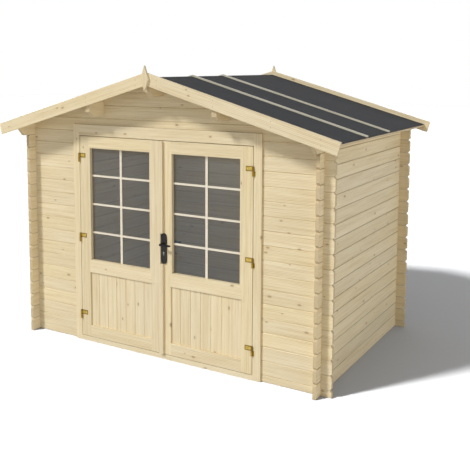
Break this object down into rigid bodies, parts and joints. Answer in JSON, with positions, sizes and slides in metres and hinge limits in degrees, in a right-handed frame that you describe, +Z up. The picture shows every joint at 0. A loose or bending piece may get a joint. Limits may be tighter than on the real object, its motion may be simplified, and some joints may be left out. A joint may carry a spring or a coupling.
{
  "type": "garden shed",
  "caption": "Log-built garden shed with interlocked corners, a shallow gabled felt roof, barge boards and finials, and glazed, boarded double doors with a lever handle.",
  "frame": {"origin": "on the ground, at the middle of the shed's plan, which is the middle of the bounding box", "axes": "+X to the right as one faces the doors, +Y from the doors towards the rear wall, +Z up"},
  "size_m": [3.212, 2.27, 2.4136],
  "materials": {
    "spruce": "planed, untreated",
    "felt": "matt, mineral-surfaced",
    "glazing": "clear",
    "brass": "polished",
    "black_metal": "satin",
    "bright_metal": "satin"
  },
  "bodies": {
    "shed": {"door_head": "spruce", "finials": "spruce", "floor_bearers": "spruce", "floor_boards": "spruce", "front_gable": "spruce", "front_wall_left": "spruce", "front_wall_right": "spruce", "left_barge_boards": "spruce", "left_eave_log": "spruce", "left_jamb": "spruce", "left_jamb_hinges": "brass", "left_roof_battens": "spruce", "left_roof_boards": "spruce", "left_roof_felt": "felt", "left_wall": "spruce", "rear_gable": "spruce", "rear_wall": "spruce", "ridge_purlin": "spruce", "right_barge_boards": "spruce", "right_eave_log": "spruce", "right_jamb": "spruce", "right_jamb_hinges": "brass", "right_roof_battens": "spruce", "right_roof_boards": "spruce", "right_roof_felt": "felt", "right_wall": "spruce", "side_purlins": "spruce", "threshold": "spruce"},
    "left_leaf": {"left_leaf_glass": "glazing", "left_leaf_glazing_bars": "spruce", "left_leaf_hinges": "brass", "left_leaf_panel": "spruce", "left_leaf_rails": "spruce", "left_leaf_stiles": "spruce"},
    "right_leaf": {"right_leaf_glass": "glazing", "right_leaf_glazing_bars": "spruce", "right_leaf_hinges": "brass", "right_leaf_panel": "spruce", "right_leaf_rails": "spruce", "right_leaf_stiles": "spruce", "cover_strip": "spruce", "lock_plates": "black_metal", "lock_cylinder": "bright_metal"},
    "lever": {"outer_lever": "black_metal", "inner_lever": "black_metal"}
  },
  "joints": [
    {"name": "left_leaf_swing", "type": "hinge", "parent": "shed", "child": "left_leaf", "pos_m": [-0.8465, -0.9308, 0.926], "axis": [0, 0, -1], "range_deg": [0, 110]},
    {"name": "right_leaf_swing", "type": "hinge", "parent": "shed", "child": "right_leaf", "pos_m": [0.8465, -0.9308, 0.926], "axis": [0, 0, 1], "range_deg": [0, 110]},
    {"name": "lever_turn", "type": "hinge", "parent": "right_leaf", "child": "lever", "pos_m": [0.035, -0.9308, 0.976], "axis": [0, 1, 0], "range_deg": [0, 40], "stiffness_Nm_per_rad": 0.5, "springref_deg": -34.38}
  ]
}
